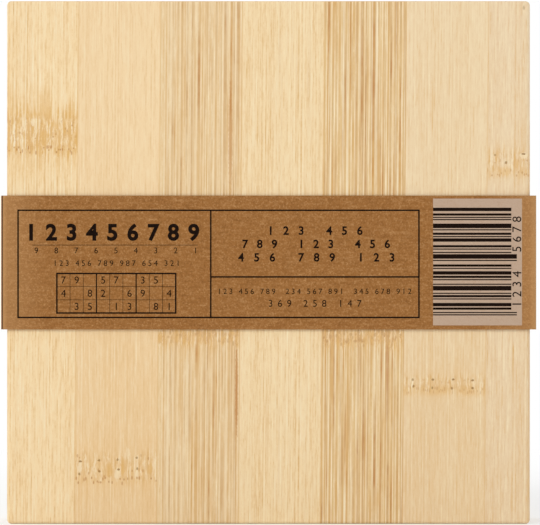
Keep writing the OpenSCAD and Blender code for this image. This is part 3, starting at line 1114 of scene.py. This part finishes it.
class SUDOKU_OT_sleeve(bpy.types.Operator):
    """Gives the sleeve its kraft card and prints its back panel"""
    bl_idname = "sudoku.sleeve"
    bl_label = "Sleeve"

    def execute(self, context):
        looks = context.scene.sudoku.sleeve
        dress("sleeve", kraft_card(looks))
        low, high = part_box("sleeve")

        def right(millimetres):
            return low.x + millimetres * MM

        def down(millimetres):
            return high.z - millimetres * MM

        def sides(area):
            """Left, lower, right and upper side of an area."""
            return right(area.left), down(area.bottom), right(area.right), down(area.top)

        rule = looks.rule_w
        ink = plain_ink("sleeve ink", looks.ink, wear=0.35)

        left, bottom, end, top = sides(SLEEVE_FRAME)
        upright, level = right(SLEEVE_UPRIGHT), down(SLEEVE_LEVEL)
        rules = Print("sleeve_rules", FROM_BACK, low.y)
        rules.frame(left, bottom, end, top, rule)
        rules.bar(upright - rule / 2, bottom, upright + rule / 2, top)
        rules.bar(upright, level - rule / 2, end, level + rule / 2)
        rules.bar(*sides(SLEEVE_HAIRLINE))
        rules.finish(ink, "sleeve")

        figures = Print("sleeve_figures", FROM_BACK, low.y)
        for line in SLEEVE_FIGURES:
            figures.figures(line.text, right(line.right), down(line.down), line.height * MM, line.bold,
                            width=line.width * MM)
        figures.finish(ink, "sleeve")

        columns, rows = 9, 3

        def clue(row, column):
            digit = (3 * row + 2 * column + column // 3) % columns + 1
            return str(digit) if (row + 2 * column) % 3 else ""

        band = Print("sleeve_number_grid", FROM_BACK, low.y)
        area = sides(SLEEVE_GRID)
        band.frame(*area, rule)
        band.grid(area, columns, rows, clue, GRID_FIGURE_H * MM, SLEEVE_GRID_LINES, framed=True)
        band.finish(ink, "sleeve")

        patch = Print("sleeve_patch", FROM_BACK, low.y)
        patch.bar(*sides(SLEEVE_PATCH))
        patch_paper, paint = paper("patch", looks.patch, looks.patch, looks.kraft, seed=6.0, strength=0.16)
        patch.finish(patch_paper.painted(paint), "sleeve")

        black = plain_ink("stripe ink", looks.ink, wear=0.2)
        stripes = Print("sleeve_stripes", FROM_BACK, low.y - INK_T)
        left, at, end, top = sides(SLEEVE_STRIPES)
        step = 0
        while at < top:
            thick = STRIPE_STEPS[step % len(STRIPE_STEPS)] * STRIPE_STEP
            is_long = step % STRIPES_IN_A_ROW < LONG_STRIPES
            stripes.bar(left, at, right(LONG_STRIPE_END) if is_long else end, at + thick)
            at += thick + GAP_STEPS[step % len(GAP_STEPS)] * STRIPE_STEP
            step += 1
        for group in range(SIDE_GROUPS):
            for place in range(SIDE_GROUP_SIZE):
                level = down(SIDE_FIGURES_DOWN - SIDE_GROUP_STEP * group - SIDE_FIGURE_STEP * place)
                digit = str(SIDE_GROUP_SIZE * group + place + 1)
                stripes.figures(digit, right(LONG_STRIPE_END), level, SIDE_FIGURE_H * MM, turn=QUARTER_TURN)
        stripes.finish(black, "sleeve")
        return {"FINISHED"}


class SUDOKU_OT_stage(bpy.types.Operator):
    """Sets the floor, the soft light and the camera"""
    bl_idname = "sudoku.stage"
    bl_label = "Stage"

    def execute(self, context):
        looks = context.scene.sudoku.stage
        low, high = CAD_BOX
        middle = (low + high) / 2
        self.floor(looks, low.z)
        self.world(context, looks)
        for name, place in LIGHT_PLACES.items():
            self.lamp(f"{name} light", Vector(place), middle, getattr(looks, name))
        self.camera(looks, middle)
        context.scene.view_settings.view_transform = "Standard"
        return {"FINISHED"}

    def seen(self, graph):
        """1 for rays that a viewer sees directly, in a mirror or through glass."""
        path = graph.node("LightPath").outputs
        direct = graph.most(path["Is Camera Ray"], path["Is Glossy Ray"])
        return graph.most(direct, path["Is Transmission Ray"])

    def floor(self, looks, height):
        """A pale floor that whitens away from the board, where it is seen."""
        mesh = bpy.data.meshes.new("floor")
        square = [(-1, -1), (1, -1), (1, 1), (-1, 1)]
        places = [(FLOOR_HALF * x, FLOOR_HALF * y, height - INK_T) for x, y in square]
        mesh.from_pydata(places, [], [(0, 1, 2, 3)])
        finish = Finish("pale floor", roughness=0.9, specular=0.1)
        white = finish.node("Emission", Color=WHITE, Strength=1.0)
        x, y, _ = finish.xyz(finish.position)
        away = finish.between(finish.length(x, y), 0.12, 0.45)
        mask = finish.times(self.seen(finish), finish.line(away, 0.5, 0.5))
        finish.shine_where(mask, finish.shader, white, "Material Output")
        mesh.materials.append(finish.painted(looks.floor))
        floor = add("floor", mesh)

    def world(self, context, looks):
        """Soft light from all round, in front of plain white."""
        world = bpy.data.worlds.new("studio")
        world.use_nodes = True
        context.scene.world = world
        graph = Graph(world.node_tree)
        fill = graph.tree.nodes["Background"]
        fill.inputs["Color"].default_value = WHITE
        fill.inputs["Strength"].default_value = looks.fill
        white = graph.node("Background", Color=WHITE, Strength=1.0)
        graph.shine_where(self.seen(graph), fill, white, "World Output")

    def lamp(self, name, place, target, power):
        light = bpy.data.lights.new(name, "AREA")
        light.energy = power
        light.size = LIGHT_SIDE
        lamp = add(name, light)
        lamp.location = place
        lamp.rotation_euler = (target - place).to_track_quat("-Z", "Y").to_euler()

    def camera(self, looks, middle):
        data = bpy.data.cameras.new("camera")
        data.lens = data.sensor_width * looks.distance / looks.view_w
        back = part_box(STRIP_NODES[0])[0].y
        camera = add("camera", data)
        camera.location = (middle.x + looks.aim_right, back - looks.distance, middle.z)
        camera.rotation_euler = (math.pi / 2, 0, 0)
        bpy.context.scene.camera = camera


class SUDOKU_PT_looks(bpy.types.Panel):
    """The steps that dress the board, and the values that they use"""
    bl_idname = "SUDOKU_PT_looks"
    bl_label = "Sudoku Board"
    bl_space_type = "VIEW_3D"
    bl_region_type = "UI"
    bl_category = "Sudoku"

    def draw(self, context):
        looks = context.scene.sudoku
        for step in STEPS:
            self.layout.operator(step.bl_idname)
        for name in looks.__annotations__:
            box = self.layout.box()
            box.label(text=name.title())
            group = getattr(looks, name)
            for value in group.__annotations__:
                box.prop(group, value)


STEPS = (SUDOKU_OT_back_strips, SUDOKU_OT_rails, SUDOKU_OT_play_board, SUDOKU_OT_pegs, SUDOKU_OT_booklet,
         SUDOKU_OT_sleeve, SUDOKU_OT_stage)
CLASSES = (BambooLooks, PegLooks, BookletLooks, SleeveLooks, StageLooks, SudokuLooks, *STEPS, SUDOKU_PT_looks)


def register():
    for cls in CLASSES:
        bpy.utils.register_class(cls)
    bpy.types.Scene.sudoku = PointerProperty(type=SudokuLooks)


def unregister():
    del bpy.types.Scene.sudoku
    for cls in reversed(CLASSES):
        bpy.utils.unregister_class(cls)


def main():
    register()
    bpy.ops.sudoku.back_strips()
    bpy.ops.sudoku.rails()
    bpy.ops.sudoku.play_board()
    bpy.ops.sudoku.pegs()
    bpy.ops.sudoku.booklet()
    bpy.ops.sudoku.sleeve()
    bpy.ops.sudoku.stage()


if __name__ == "__main__":
    main()
